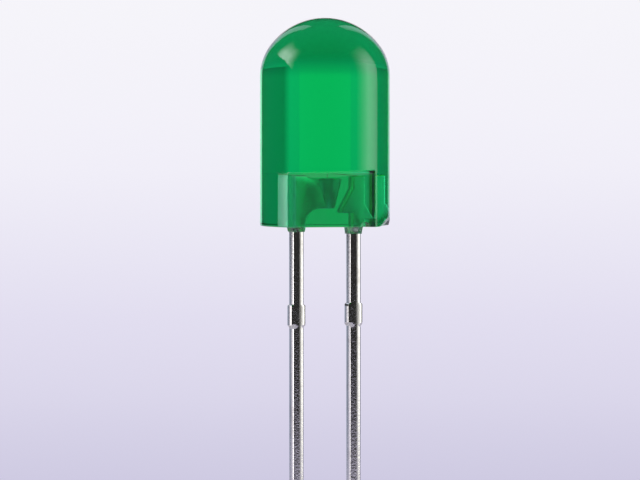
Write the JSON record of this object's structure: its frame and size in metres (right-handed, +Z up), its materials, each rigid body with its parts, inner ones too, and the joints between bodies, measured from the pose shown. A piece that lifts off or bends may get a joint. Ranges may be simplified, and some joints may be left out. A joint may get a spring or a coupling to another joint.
{
  "type": "through hole led",
  "caption": "Through hole LED with a clear tinted epoxy barrel, a domed top, a moulded window low on its front, and straight leads with tie bar stubs.",
  "frame": {"origin": "centre of the epoxy body's underside, on the axis of its barrel", "axes": "+Z up the optical axis to the dome, +X from the cathode to the anode, -Y the front"},
  "size_m": [0.005, 0.005, 0.036],
  "materials": {
    "green_epoxy": "clear tinted cast epoxy, glossy",
    "tinned_lead": "bright tin plating with a fine grain",
    "die_semiconductor": "sawn and polished crystal",
    "gold": "drawn gold",
    "silver_adhesive": "matt silver filled adhesive"
  },
  "bodies": {
    "root": {"lens_body": "green_epoxy", "cathode_lead": "tinned_lead", "anode_lead": "tinned_lead", "led_chip": "die_semiconductor", "chip_pad": "gold", "die_attach": "silver_adhesive", "bond_wire": "gold"}
  },
  "joints": []
}
